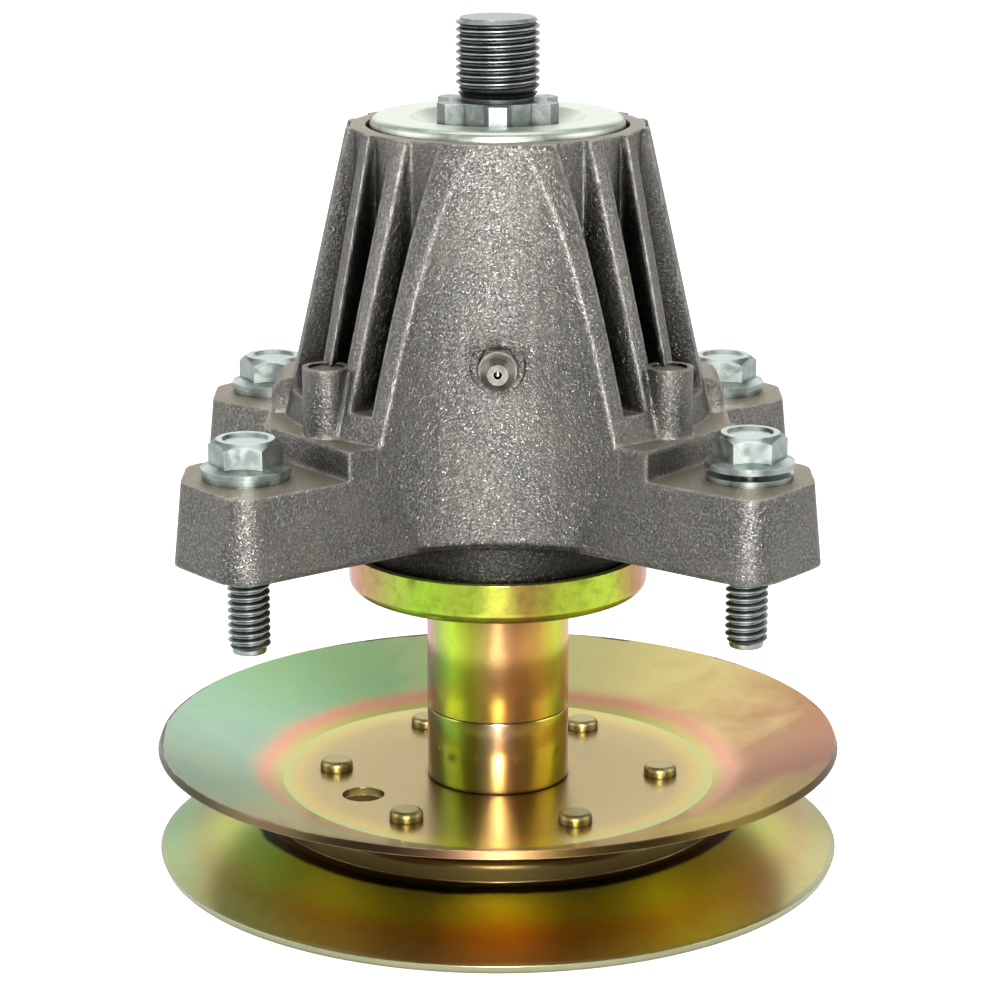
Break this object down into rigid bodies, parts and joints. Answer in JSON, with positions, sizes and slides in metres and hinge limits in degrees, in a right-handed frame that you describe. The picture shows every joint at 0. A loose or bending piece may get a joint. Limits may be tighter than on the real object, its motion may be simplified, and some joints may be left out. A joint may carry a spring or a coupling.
{
  "type": "mower deck spindle",
  "caption": "Ribbed cast spindle housing with bolts, a shaft on two ball bearings, a dust cup and a two-disc riveted V-pulley.",
  "frame": {"origin": "on the shaft axis, in the plane of the lower pulley rim that the part stands on", "axes": "+Z along the shaft towards the blade end, -Y towards the grease fitting, bolts at plus and minus X"},
  "size_m": [0.135, 0.135, 0.1652],
  "materials": {
    "cast_aluminium": "rough cast",
    "zinc_steel": "satin",
    "yellow_zinc": "iridescent yellow passivated zinc",
    "bearing_steel": "polished",
    "brass_cage": "satin",
    "seal_rubber": "matt"
  },
  "bodies": {
    "housing": {"housing": "cast_aluminium", "blade_bearing_outer_race": "bearing_steel", "blade_bearing_seals": "seal_rubber", "pulley_bearing_outer_race": "bearing_steel", "pulley_bearing_seals": "seal_rubber", "grease_fitting_body": "zinc_steel", "mounting_bolts": "zinc_steel", "bolt_washers": "zinc_steel"},
    "spindle": {"spindle_shaft": "zinc_steel", "blade_side_shield": "zinc_steel", "dust_cup": "yellow_zinc", "spacer_sleeve": "yellow_zinc", "bearing_spacer": "zinc_steel", "blade_bearing_inner_race": "bearing_steel", "pulley_bearing_inner_race": "bearing_steel", "pulley_hub": "yellow_zinc", "pulley_upper_disc": "yellow_zinc", "pulley_lower_disc": "yellow_zinc", "pulley_rivets": "yellow_zinc", "pulley_nut": "zinc_steel"},
    "blade_bearing_ball_set": {"blade_bearing_balls": "bearing_steel", "blade_bearing_cage": "brass_cage"},
    "pulley_bearing_ball_set": {"pulley_bearing_balls": "bearing_steel", "pulley_bearing_cage": "brass_cage"},
    "check_ball": {"grease_fitting_ball": "bearing_steel"}
  },
  "joints": [
    {"name": "spindle_turn", "type": "hinge", "parent": "housing", "child": "spindle", "pos_m": [0, 0, 0.1], "axis": [0, 0, 1], "continuous": true},
    {"name": "blade_ball_set_turn", "type": "hinge", "parent": "housing", "child": "blade_bearing_ball_set", "pos_m": [0, 0, 0.136], "axis": [0, 0, 1], "continuous": true},
    {"name": "pulley_ball_set_turn", "type": "hinge", "parent": "housing", "child": "pulley_bearing_ball_set", "pos_m": [0, 0, 0.0645], "axis": [0, 0, 1], "continuous": true},
    {"name": "check_ball_press", "type": "slide", "parent": "housing", "child": "check_ball", "axis": [0, 1, 0], "range_m": [0, 0.0008], "stiffness_N_per_m": 40, "springref_m": -0.0005}
  ],
  "couplings": [
    {"joint": "blade_ball_set_turn", "follows": "spindle_turn", "ratio": 0.3815},
    {"joint": "pulley_ball_set_turn", "follows": "spindle_turn", "ratio": 0.3815}
  ]
}
